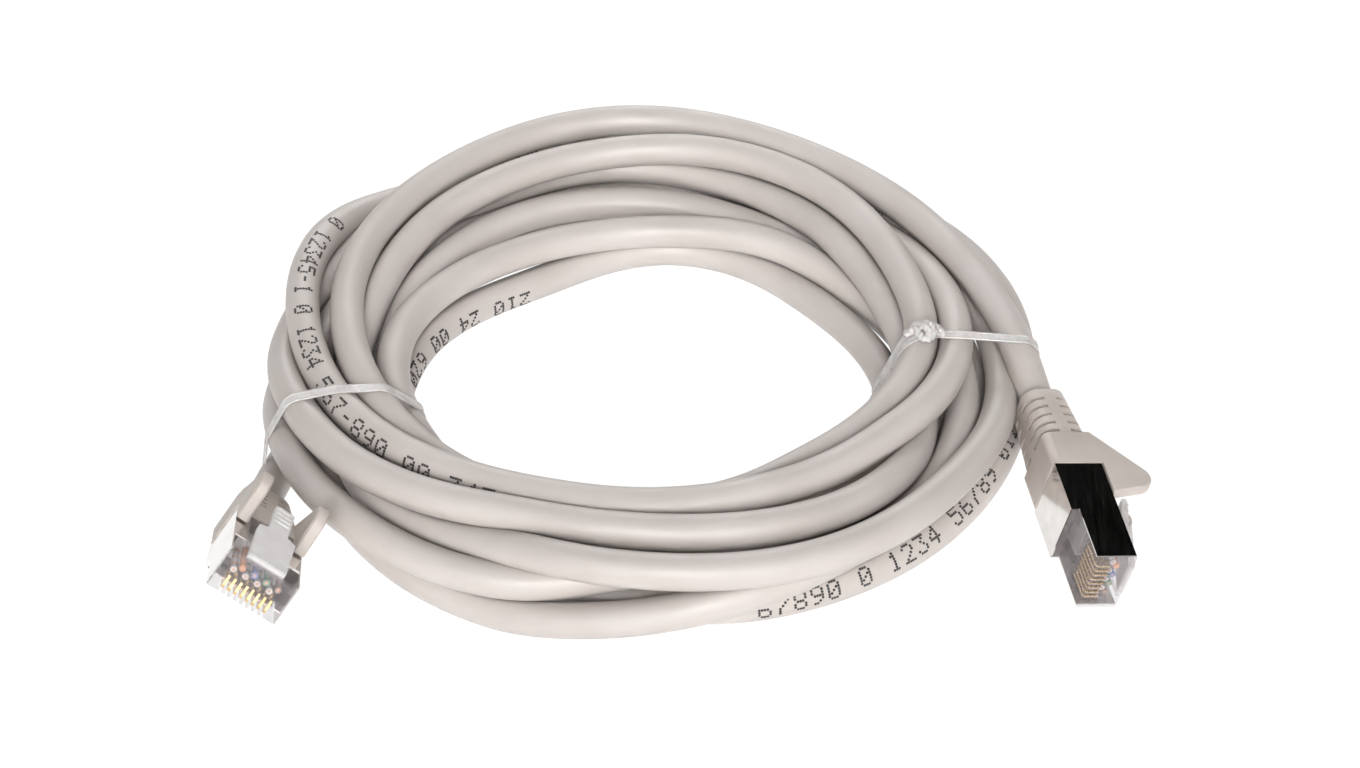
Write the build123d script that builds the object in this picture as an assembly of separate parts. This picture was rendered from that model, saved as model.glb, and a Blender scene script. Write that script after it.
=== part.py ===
"""A coiled Ethernet patch cable: two shielded 8P8C plugs with snag-proof boots, and a tied coil of cord.

Millimetres, +Z up, the table at z = 0.  A plug is modelled once in its own frame and placed twice.
In that frame +X is the way the plug is pushed in, with the nose face at x = 0.  +Y runs along the
contacts from pin 1 to pin 8.  +Z points to the latch, and z = 0 is the contact face of the nose.
"""
from build123d import *
import math
import os

os.makedirs("parts", exist_ok=True)

# --- the cord ---
cable_diameter = 5.8

# --- the plug, to the 8P8C standard ---
plug_width = 11.68
nose_height = 6.6
rear_height = 8.0
plug_length = 20.2
step_from_nose = 10.5
nose_chamfer = 0.3
contact_count = 8
contact_pitch = 1.02
contact_thickness = 0.35
contact_length = 5.6
contact_recess = 0.55
contact_slot_depth = 2.9
contact_clearance = 0.08
wire_diameter = 0.98
wire_clearance = 0.06
core_diameter = 0.5
core_clearance = 0.01
strand_sides = 6
bore_sides = 8
wire_end_from_nose = 1.3
wire_end_gap = 0.1
wire_back_gap = 0.3
throat_gap = 0.6
wire_row_height = 4.0
wire_stagger = 0.42
load_bar_length = 4.0
load_bar_inset = 10.4
load_bar_height = 3.7
housing_wall = 0.9
piece_clearance = 0.06
blade_foot = 0.45
blade_bevel = 1.0
blade_nose_radius = 0.7
tooth_height = 0.7
tooth_from_front = (1.1, 2.3, 2.6, 2.9, 3.7, 4.0, 4.3)
tooth_wire_gap = 0.15

# --- the latch ---
latch_width = 6.25
tail_width = 3.25
latch_thickness = 1.0
latch_shoulder_from_nose = 9.2
latch_tail_from_nose = 16.3
latch_angle = 14.5
hinge_from_nose = 1.3
hinge_rise = 0.15
hinge_radius = 0.6
hinge_clearance = 0.22
latch_side_clearance = 0.3
shoulder_taper = 0.6
grip_rib_count = 4
grip_rib_pitch = 1.1
grip_rib_width = 0.5
grip_rib_height = 0.3
grip_rib_share = 0.8

# --- the shield, folded from one sheet ---
sheet = 0.25
shield_lip = 0.8
flank_from_nose = 7.5
barrel_length = 4.5
tongue_width = 3.2
web_width = 2.4
web_gap = 0.4

# --- the boot ---
boot_gap = 0.1
boot_overhang = 0.16
boot_block_length = 6.6
rib_count = 5
rib_pitch = 2.05
groove_width = 0.75
groove_depth = 0.8
groove_corner_share = 0.6
spine_width = 2.0
boot_end_width = 8.8
boot_end_height = 7.5
boot_end_roundness = 0.35
boot_corner = 1.3
boot_bore_clearance = 0.15
boot_step = 0.15
ear_thickness = 2.0
ear_reach = 6.4
ear_height = 8.0
ear_tip_radius = 2.5
ear_rim_bevel = 0.35
ear_root = 1.5
ear_lean = 1.7
ear_clearance = 0.3

# --- the coil: where its inner and outer edges run, in cable diameters from the ring line ---
ring_radius = 52.0
ring_centre = (-6.68, -1.27)
coil_layers = 2.88
coil_rounding_share = 0.8
coil_arc_share = 0.48
coil_edges = (
    (0, -2.15, 2.2), (25, -2.25, 2.65), (50, -2.4, 2.85), (75, -2.6, 2.8), (100, -2.75, 2.8),
    (130, -2.75, 3.0), (150, -2.35, 2.75), (172, -1.95, 2.2), (195.5, -2.15, 2.6), (207, -2.35, 2.75),
    (221, -2.6, 1.5),
    (245, -3.35, 0.8), (270, -3.7, 0.6), (295, -3.65, 0.8), (318, -3.25, 1.25), (340, -2.5, 1.6),
)
tie_angles = {"right": 0, "left": 195.5}

# --- the ties: flat plastic ribbon ---
ribbon_width = 1.5
ribbon_thickness = 0.5
tie_clearance = 0.3
knot_length = 5.2
knot_thickness = 3.2
knot_height = 2.1
knot_rounding = 0.4
knot_sink = 0.2
knot_inset = 0.95

# --- where the plugs lie: nose point from the ring's centre, heading, nose pitch and roll ---
plug_places = {
    "a": ((-58.64, -65.07, 21.6), -81.96, -27.0, -39.62),
    "b": ((68.6, -47.2, 6.93), -80.5, 4.3, -99.5),
}
lead_inset = 5.0
notch_clearance = 0.5

wire_names = (
    "white_orange", "orange", "white_green", "blue", "white_blue", "green", "white_brown", "brown",
)

# how far a cutter runs past the face that it opens
overcut = 1.0

# --- worked out from the sizes above ---
rear_drop = rear_height - nose_height
housing_width = plug_width - 2 * (sheet + piece_clearance)
housing_top = nose_height - sheet - piece_clearance
housing_bottom = -rear_drop + sheet + piece_clearance
cord_height = (nose_height - rear_drop) / 2
load_bar_from_nose = plug_length - load_bar_inset
lead_start_from_nose = plug_length - lead_inset
boot_front = plug_length + boot_gap
boot_block_back = boot_front + boot_block_length
boot_back = boot_block_back + rib_count * rib_pitch + rib_pitch / 2
boot_width = plug_width + 2 * boot_overhang
boot_low = -rear_drop - boot_overhang
boot_high = nose_height + boot_overhang
hinge_height = nose_height + hinge_rise
wire_front = -wire_end_from_nose - wire_end_gap
wire_length = wire_front + lead_start_from_nose - wire_back_gap
coil_base = tie_clearance + ribbon_thickness
coil_height = coil_layers * cable_diameter
coil_rounding = coil_rounding_share * cable_diameter


def box_between(x_range, y_range, z_range):
    """A box between two values on each axis."""
    size = [abs(pair[1] - pair[0]) for pair in (x_range, y_range, z_range)]
    middle = [(pair[0] + pair[1]) / 2 for pair in (x_range, y_range, z_range)]
    return Pos(*middle) * Box(*size)


def side_profile(points, width):
    """Extrude an outline drawn in X and Z to a width that is centred on Y."""
    outline = Polyline(*[(x, 0, z) for x, z in points], close=True)
    return extrude(make_face(outline), amount=width / 2, dir=(0, 1, 0), both=True)


def wire_place(pin):
    """Where a conductor runs across the plug: pins alternate between two rows."""
    across = (pin - (contact_count - 1) / 2) * contact_pitch
    row = wire_stagger if pin % 2 else -wire_stagger
    return across, wire_row_height + row


# ---------------------------------------------------------------- the plug's pieces
def housing():
    """The clear moulding: nose with eight contact slots, wire bores and an open rear for the cord."""
    body = side_profile(
        ((-shield_lip, 0), (-shield_lip, nose_height), (-flank_from_nose, nose_height),
         (-flank_from_nose, housing_top), (-plug_length, housing_top), (-plug_length, housing_bottom),
         (-step_from_nose, housing_bottom), (-step_from_nose, 0)), housing_width)
    lip = side_profile(((0, 0), (0, nose_height), (-shield_lip, nose_height), (-shield_lip, 0)), plug_width)
    lip = chamfer(lip.faces().sort_by(Axis.X)[-1].edges(), nose_chamfer)
    body = body + lip
    body -= contact_slots() + wire_bores(-wire_end_from_nose, -load_bar_from_nose - overcut)
    body -= latch_pocket()
    cavity_width = housing_width - 2 * housing_wall
    bar_top = wire_row_height + load_bar_height / 2 + piece_clearance
    bar_low = wire_row_height - load_bar_height / 2 - piece_clearance
    body -= box_between((-load_bar_from_nose, -plug_length), (-cavity_width / 2, cavity_width / 2),
                        (bar_low, bar_top))
    throat = cable_diameter + 2 * boot_bore_clearance
    body -= box_between((throat_gap - lead_start_from_nose, -plug_length),
                        (-cavity_width / 2, cavity_width / 2),
                        (cord_height - throat / 2, cord_height + throat / 2))
    return body


def contact_slots():
    """Eight slots that open at the nose and at the contact face."""
    slot = contact_thickness + 2 * contact_clearance
    back = contact_recess + contact_length + contact_clearance
    cuts = []
    for pin in range(contact_count):
        across = wire_place(pin)[0]
        cuts.append(box_between((overcut, -back), (across - slot / 2, across + slot / 2),
                                (-overcut, contact_slot_depth)))
    return Compound(children=cuts)


def wire_bores(front, back):
    """Eight bores in two staggered rows between two places along the plug, for the conductors."""
    radius = (wire_diameter / 2 + wire_clearance) / math.cos(math.pi / bore_sides)
    bores = []
    for pin in range(contact_count):
        across, height = wire_place(pin)
        plane = Plane(origin=(front, across, height), x_dir=(0, 1, 0), z_dir=(-1, 0, 0))
        bores.append(extrude(plane * RegularPolygon(radius, bore_sides), amount=front - back))
    return Compound(children=bores)


def latch_pocket():
    """The recess under the latch, with its hinge in the front corner."""
    half = latch_width / 2 + latch_side_clearance
    floor = hinge_height - hinge_radius - hinge_clearance
    front = hinge_from_nose - hinge_radius - hinge_clearance
    return box_between((-front, -flank_from_nose - piece_clearance), (-half, half),
                       (floor, nose_height + overcut))


def latch():
    """The release tab: a broad locking part, two shoulders and a narrow ribbed tail."""
    slope = math.cos(math.radians(latch_angle))
    shoulder = (hinge_from_nose - latch_shoulder_from_nose) / slope
    neck = shoulder - shoulder_taper
    tail_end = (hinge_from_nose - latch_tail_from_nose) / slope
    half = latch_width / 2
    tail_half = tail_width / 2
    plan = Polyline((0, -half), (0, half), (shoulder, half), (neck, tail_half), (tail_end, tail_half),
                    (tail_end, -tail_half), (neck, -tail_half), (shoulder, -half), close=True)
    arm = extrude(make_face(plan), amount=latch_thickness / 2, both=True)
    arm = fillet(arm.edges().filter_by(Axis.Y).sort_by(Axis.X)[:2], latch_thickness * 0.4)
    rib = Box(grip_rib_width, tail_width * grip_rib_share, 2 * grip_rib_height)
    for count in range(grip_rib_count):
        arm += Pos(tail_end + grip_rib_pitch * (count + 0.8), 0, latch_thickness / 2) * rib
    barrel = Cylinder(hinge_radius, latch_width, rotation=(90, 0, 0))
    return Pos(-hinge_from_nose, 0, hinge_height) * (Rot(Y=latch_angle) * arm + barrel)


def shield():
    """The folded sheet: both sides, the rear of the contact face, two flanks and the crimp barrel."""
    outer = side_profile(
        ((-shield_lip, 0), (-shield_lip, nose_height), (-plug_length, nose_height),
         (-plug_length, -rear_drop), (-step_from_nose, -rear_drop), (-step_from_nose, 0)), plug_width)
    inner_half = plug_width / 2 - sheet
    outer -= box_between((overcut, -plug_length - overcut), (-inner_half, inner_half),
                         (-rear_drop + sheet, nose_height - sheet))
    outer -= box_between((overcut, -step_from_nose - piece_clearance), (-inner_half, inner_half),
                         (-rear_height, cord_height))
    outer -= box_between((overcut, -flank_from_nose - piece_clearance), (-inner_half, inner_half),
                         (cord_height, nose_height + overcut))
    half = latch_width / 2 + latch_side_clearance
    outer -= box_between((overcut, -plug_length - overcut), (-half, half),
                         (nose_height - overcut, nose_height + overcut))
    radius = cable_diameter / 2 + piece_clearance
    barrel = Cylinder(radius + sheet, barrel_length) - Cylinder(radius, barrel_length + overcut)
    barrel = Pos(-plug_length - barrel_length / 2, 0, cord_height) * Rot(Y=90) * barrel
    end = -plug_length - barrel_length
    tongue = box_between((overcut - plug_length, end), (-tongue_width / 2, tongue_width / 2),
                         (-rear_drop, -rear_drop + sheet))
    web = box_between((-plug_length - web_gap, end), (-web_width / 2, web_width / 2),
                      (-rear_drop, cord_height - radius))
    return outer + tongue + web + barrel


def contacts():
    """Eight gold blades with a rounded nose and two teeth that pierce the conductors."""
    front = -contact_recess
    back = front - contact_length
    low_wire = wire_row_height - wire_stagger - wire_diameter / 2
    top = min(low_wire - tooth_wire_gap, contact_slot_depth - contact_clearance)
    gum = top - tooth_height
    marks = [front - distance for distance in tooth_from_front]
    blades = []
    for pin in range(contact_count):
        outline = Polyline(
            (back, 0, blade_foot + blade_bevel), (back + blade_bevel, 0, blade_foot), (front, 0, blade_foot),
            (front, 0, top), (marks[0], 0, top), (marks[0], 0, gum), (marks[1], 0, gum), (marks[2], 0, top),
            (marks[3], 0, gum), (marks[4], 0, gum), (marks[5], 0, top), (marks[6], 0, gum), (back, 0, gum),
            close=True)
        blade = extrude(make_face(outline), amount=contact_thickness / 2, dir=(0, 1, 0), both=True)
        nose_edge = blade.edges().filter_by(Axis.Y).group_by(Axis.X)[-1].sort_by(Axis.Z)[0]
        blades.append(Pos(0, wire_place(pin)[0], 0) * fillet(nose_edge, blade_nose_radius))
    return Compound(children=blades)


def load_bar():
    """The small block that holds the conductors in their two rows."""
    width = housing_width - 2 * housing_wall - 2 * piece_clearance
    front = -load_bar_from_nose - piece_clearance
    back = front - load_bar_length
    bar = box_between((front, back), (-width / 2, width / 2),
                      (wire_row_height - load_bar_height / 2, wire_row_height + load_bar_height / 2))
    return bar - wire_bores(front + overcut, back - overcut)


def wire(pin):
    """One insulated conductor with its bore for the stranded copper core."""
    across, height = wire_place(pin)
    ring = Circle(wire_diameter / 2) - RegularPolygon(core_diameter / 2 + core_clearance, strand_sides)
    plane = Plane(origin=(wire_front, across, height), x_dir=(0, 1, 0), z_dir=(-1, 0, 0))
    return extrude(plane * ring, amount=wire_length)


def cores():
    """The eight copper cores, six-sided as twisted strands pack, flush with their insulation."""
    rods = []
    for pin in range(contact_count):
        across, height = wire_place(pin)
        plane = Plane(origin=(wire_front, across, height), x_dir=(0, 1, 0), z_dir=(-1, 0, 0))
        rods.append(extrude(plane * RegularPolygon(core_diameter / 2, strand_sides), amount=wire_length))
    return Compound(children=rods)


def boot():
    """The moulded boot: a plain block, a tapered ribbed strain relief and two guard ears."""
    middle = (boot_low + boot_high) / 2
    block = box_between((-boot_front, -boot_block_back), (-boot_width / 2, boot_width / 2),
                        (boot_low, boot_high))
    block = fillet(block.edges().filter_by(Axis.X), boot_corner)
    body = block + (boot_taper(middle, 0) - boot_grooves(middle)) + boot_ears()
    bore = Cylinder(cable_diameter / 2 + boot_bore_clearance, 3 * boot_back, rotation=(0, 90, 0))
    body -= Pos(-boot_front, 0, cord_height) * bore
    barrel_radius = cable_diameter / 2 + sheet + 3 * piece_clearance
    pocket_front = overcut - boot_front
    pocket_back = -plug_length - barrel_length - boot_bore_clearance
    barrel_room = Cylinder(barrel_radius, pocket_front - pocket_back, rotation=(0, 90, 0))
    body -= Pos((pocket_front + pocket_back) / 2, 0, cord_height) * barrel_room
    tongue_half = tongue_width / 2 + boot_bore_clearance
    body -= box_between((pocket_front, pocket_back), (-tongue_half, tongue_half),
                        (-rear_drop - piece_clearance, cord_height))
    return body


def boot_taper(middle, depth):
    """The strain relief's tapered body, with rounded long edges, a depth under its surface."""
    front_half = boot_width / 2 - boot_step - depth
    back_half = boot_end_width / 2 - depth
    high = (boot_high - boot_low) / 2 - boot_step - depth
    end_high = boot_end_height / 2 - depth
    side = side_profile(((-boot_block_back, middle + high), (-boot_block_back, middle - high),
                         (-boot_back, cord_height - end_high), (-boot_back, cord_height + end_high)),
                        2 * boot_width)
    outline = Polyline((-boot_block_back, front_half, 0), (-boot_block_back, -front_half, 0),
                       (-boot_back, -back_half, 0), (-boot_back, back_half, 0), close=True)
    taper = side & extrude(make_face(outline), amount=2 * boot_width, both=True)
    ends = taper.faces().filter_by(Plane.YZ)
    across = [edge for face in ends for edge in face.edges()]
    corners = [edge for edge in taper.edges() if all(edge.center() != end.center() for end in across)]
    rounding = boot_end_roundness * boot_end_height
    if depth:
        return chamfer(corners, (rounding - depth) * groove_corner_share)
    return fillet(corners, rounding)


def boot_grooves(middle):
    """Grooves round the taper, broken by a spine along the middle of each face."""
    core = boot_taper(middle, groove_depth)
    tall = 2 * boot_width
    spines = Box(4 * boot_back, spine_width, tall) + Box(4 * boot_back, tall, spine_width)
    spines = Pos(0, 0, middle) * spines
    cuts = []
    for groove in range(rib_count):
        x = -boot_block_back - (rib_pitch - groove_width) / 4 - groove_width / 2 - groove * rib_pitch
        cuts.append(Pos(x, 0, middle) * Box(groove_width, tall, tall) - core - spines)
    return Compound(children=cuts)


def boot_ears():
    """Two rounded fins that stand over the latch on both sides and stop it from snagging."""
    tip = boot_high + ear_height
    base = boot_high + ear_clearance - boot_overhang
    reach = ear_reach - boot_front
    root = boot_high - ear_root
    outline = Polyline((-boot_block_back, 0, root), (-boot_block_back, 0, boot_high),
                       (reach - ear_lean, 0, tip + ear_lean), (reach, 0, base),
                       (-boot_front, 0, base), (-boot_front, 0, root), close=True)
    fin = extrude(make_face(outline), amount=ear_thickness / 2, dir=(0, 1, 0), both=True)
    across = fin.edges().filter_by(Axis.Y)
    fin = fillet(across.sort_by(Axis.Z)[-1], ear_tip_radius)
    upper = boot_high + 2 * ear_rim_bevel
    rims = fin.edges().filter_by(lambda edge: edge.center().Z > upper and not edge_is_across(edge))
    fin = chamfer(rims, ear_rim_bevel)
    offset = (boot_width - ear_thickness) / 2
    return Pos(0, offset, 0) * fin + Pos(0, -offset, 0) * fin


def edge_is_across(edge):
    """True for an edge that runs along Y."""
    return abs((edge @ 1 - edge @ 0).Y) > ear_thickness / 4


# ---------------------------------------------------------------- the coil, its ties and its leads
def ring_point(angle, diameters, height=0.0):
    """A point at an angle round the ring, a number of cable diameters off the ring line."""
    radius = ring_radius + diameters * cable_diameter
    turn = math.radians(angle)
    return (ring_centre[0] + radius * math.cos(turn), ring_centre[1] + radius * math.sin(turn), height)


def coil_edge(column):
    """The closed line through one edge of the coil: straight runs joined by wide arcs."""
    corners = []
    for place, row in enumerate(coil_edges):
        ahead = coil_edges[(place + 1) % len(coil_edges)][0]
        spread = (ahead - coil_edges[place - 1][0]) % 360
        radius = (ring_radius + row[column] * cable_diameter) / math.cos(math.radians(spread / 4))
        corners.append(ring_point(row[0], (radius - ring_radius) / cable_diameter, coil_base))
    return FilletPolyline(*corners, radius=corner_radii(corners), close=True)


def corner_radii(corners):
    """The widest arc at each corner that leaves a short straight run between it and the next."""
    radii = []
    for place, corner in enumerate(corners):
        before = math.dist(corners[place - 1], corner)
        after = math.dist(corner, corners[(place + 1) % len(corners)])
        ahead = corners[(place + 1) % len(corners)]
        turn_in = math.atan2(corner[1] - corners[place - 1][1], corner[0] - corners[place - 1][0])
        turn_out = math.atan2(ahead[1] - corner[1], ahead[0] - corner[0])
        bend = (turn_out - turn_in) % (2 * math.pi)
        radii.append(coil_arc_share * min(before, after) / math.tan(bend / 2))
    return radii


def coil():
    """The outer shape of the tied turns, with a notch where a boot tucks in under them."""
    ring = make_face(coil_edge(2)) - make_face(coil_edge(1))
    solid = extrude(ring, amount=coil_height, dir=(0, 0, 1))
    rims = [edge for edge in solid.edges() if edge.bounding_box().size.Z < coil_height / 2]
    solid = chamfer(rims, coil_rounding)
    for side in plug_places:
        solid -= plug_location(side) * boot_room()
    return solid


def boot_room():
    """The room that a boot takes, with clearance, as far as the face that its lead runs into."""
    half = boot_width / 2 + notch_clearance
    lead_end = -boot_back - notch_clearance
    body = box_between((-boot_front, lead_end), (-half, half),
                       (boot_low - notch_clearance, boot_high + notch_clearance))
    ears = box_between((-boot_front + ear_reach + notch_clearance, -boot_block_back), (-half, half),
                       (boot_high, boot_high + ear_height))
    return body + ears


def tie_band(angle):
    """A flat ribbon once round the coil at an angle."""
    inner, outer = tie_span(angle)
    turn = math.radians(angle)
    middle = ring_point(angle, (inner + outer) / 2, coil_base + coil_height / 2)
    plane = Plane(origin=middle, x_dir=(math.cos(turn), math.sin(turn), 0),
                  z_dir=(-math.sin(turn), math.cos(turn), 0))
    width = (outer - inner) * cable_diameter + 2 * tie_clearance
    height = coil_height + 2 * tie_clearance
    corner = coil_rounding + tie_clearance
    outside = RectangleRounded(width + 2 * ribbon_thickness, height + 2 * ribbon_thickness,
                               corner + ribbon_thickness)
    loop = outside - RectangleRounded(width, height, corner)
    return extrude(plane * loop, amount=ribbon_width / 2, both=True)


def tie_span(angle):
    """The coil's inner and outer edge at a tie."""
    row = [row for row in coil_edges if row[0] == angle][0]
    return row[1], row[2]


def tie_knot(angle):
    """The knot on top of a tie, over the innermost turns."""
    inner = tie_span(angle)[0]
    top = coil_base + coil_height + tie_clearance + ribbon_thickness - knot_sink
    place = ring_point(angle, inner + knot_inset, top)
    knot = box_between((-knot_length / 2, knot_length / 2), (-knot_thickness / 2, knot_thickness / 2),
                       (0, knot_height))
    knot = fillet(knot.edges().filter_by(Axis.Z), knot_thickness * knot_rounding)
    knot = chamfer(knot.faces().sort_by(Axis.Z)[-1].edges(), knot_height * knot_rounding)
    return Pos(*place) * Rot(Z=angle) * knot


def plug_location(side):
    """The place and turn of a plug."""
    nose, heading, pitch, roll = plug_places[side]
    moved = Pos(nose[0] + ring_centre[0], nose[1] + ring_centre[1], nose[2])
    return moved * Rot(Z=heading) * Rot(Y=pitch) * Rot(X=roll)


def lead():
    """The straight stretch of cord from inside a plug, through its boot, to the coil's face."""
    length = boot_back + notch_clearance - lead_start_from_nose
    tube = Cylinder(cable_diameter / 2, length, rotation=(0, 90, 0))
    section = math.pi * cable_diameter ** 2 / 4
    print(f"lead: straight, volume {tube.volume:.1f}, section x length {section * length:.1f}")
    return Pos(-lead_start_from_nose - length / 2, 0, cord_height) * tube


def main():
    """Write one file for each piece."""
    plug = {"housing": housing(), "latch": latch(), "shield": shield(), "contacts": contacts(),
            "load_bar": load_bar(), "cores": cores(), "boot": boot(), "lead": lead()}
    for pin, name in enumerate(wire_names):
        plug["wire_" + name] = wire(pin)
    nodes = {"coil": coil()}
    for side in plug_places:
        for name, shape in plug.items():
            nodes[f"{name}_{side}"] = plug_location(side) * shape
    for name, angle in tie_angles.items():
        nodes[f"tie_{name}"] = tie_band(angle)
    nodes["tie_right"] += tie_knot(tie_angles["right"])
    for name, shape in nodes.items():
        export_step(shape, f"parts/{name}.step")
    whole = Compound(children=list(nodes.values())).bounding_box()
    print("box", whole.min, whole.max)


main()
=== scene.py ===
# %% [markdown]
# # A coiled patch cable
# A network patch cable is three metres of round grey cord with a shielded plug at each end. It is
# wound by hand into a loose ring and tied in two places with flat plastic ribbon.
# The hard pieces come from the frame, which holds their exact shapes. What the frame can't hold
# well is soft: the cord, the ribbon and the ink on the cord, so those are made here.

# %% Read the frame
import math

import bmesh
import bpy
import numpy as np
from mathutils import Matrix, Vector


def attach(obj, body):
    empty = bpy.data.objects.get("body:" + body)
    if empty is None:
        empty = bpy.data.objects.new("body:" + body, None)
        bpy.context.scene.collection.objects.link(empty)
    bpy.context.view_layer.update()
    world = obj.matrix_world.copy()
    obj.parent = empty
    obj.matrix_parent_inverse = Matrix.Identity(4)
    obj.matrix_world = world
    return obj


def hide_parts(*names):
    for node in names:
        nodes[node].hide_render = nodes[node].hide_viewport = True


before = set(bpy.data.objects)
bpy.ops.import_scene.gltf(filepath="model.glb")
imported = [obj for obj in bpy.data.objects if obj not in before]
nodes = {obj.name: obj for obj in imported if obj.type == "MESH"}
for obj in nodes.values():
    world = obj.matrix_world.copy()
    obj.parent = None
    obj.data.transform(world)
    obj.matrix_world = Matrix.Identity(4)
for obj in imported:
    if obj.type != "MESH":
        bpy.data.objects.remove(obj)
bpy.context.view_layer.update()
print("pieces in the frame:", len(nodes))

# %% [markdown]
# ## Where we look from
# Everything on the ring is easiest to say as an angle, a distance from the ring's centre and a
# height. Lengths are written in millimetres, as a maker would, and turned into metres in one place.
# The camera stands in front of the ring and looks down on it at 42 degrees, with a long lens, so
# that the near and far side of the ring differ little in size.

# %% Millimetres and the ring's centre
MM = 0.001
RING_CENTRE = (-6.68, -1.27)


def place(x, y, z):
    """A point in millimetres from the ring's centre, as a point in metres."""
    return Vector(((x + RING_CENTRE[0]) * MM, (y + RING_CENTRE[1]) * MM, z * MM))


# %% The camera
LENS = 64.59
SENSOR = 36.0
NEAREST = 0.01
CAMERA_PLACE = (5.4, -307.53, 283.18)
LOOKS_DOWN = 42
camera_data = bpy.data.cameras.new("camera")
camera_data.lens = LENS
camera_data.sensor_width = SENSOR
camera_data.clip_start = NEAREST
camera = bpy.data.objects.new("camera", camera_data)
camera.location = place(*CAMERA_PLACE)
camera.rotation_euler = (math.radians(90 - LOOKS_DOWN), 0, 0)
bpy.context.scene.collection.objects.link(camera)
bpy.context.scene.camera = camera
print("camera at", [round(v, 3) for v in camera.location])
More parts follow.
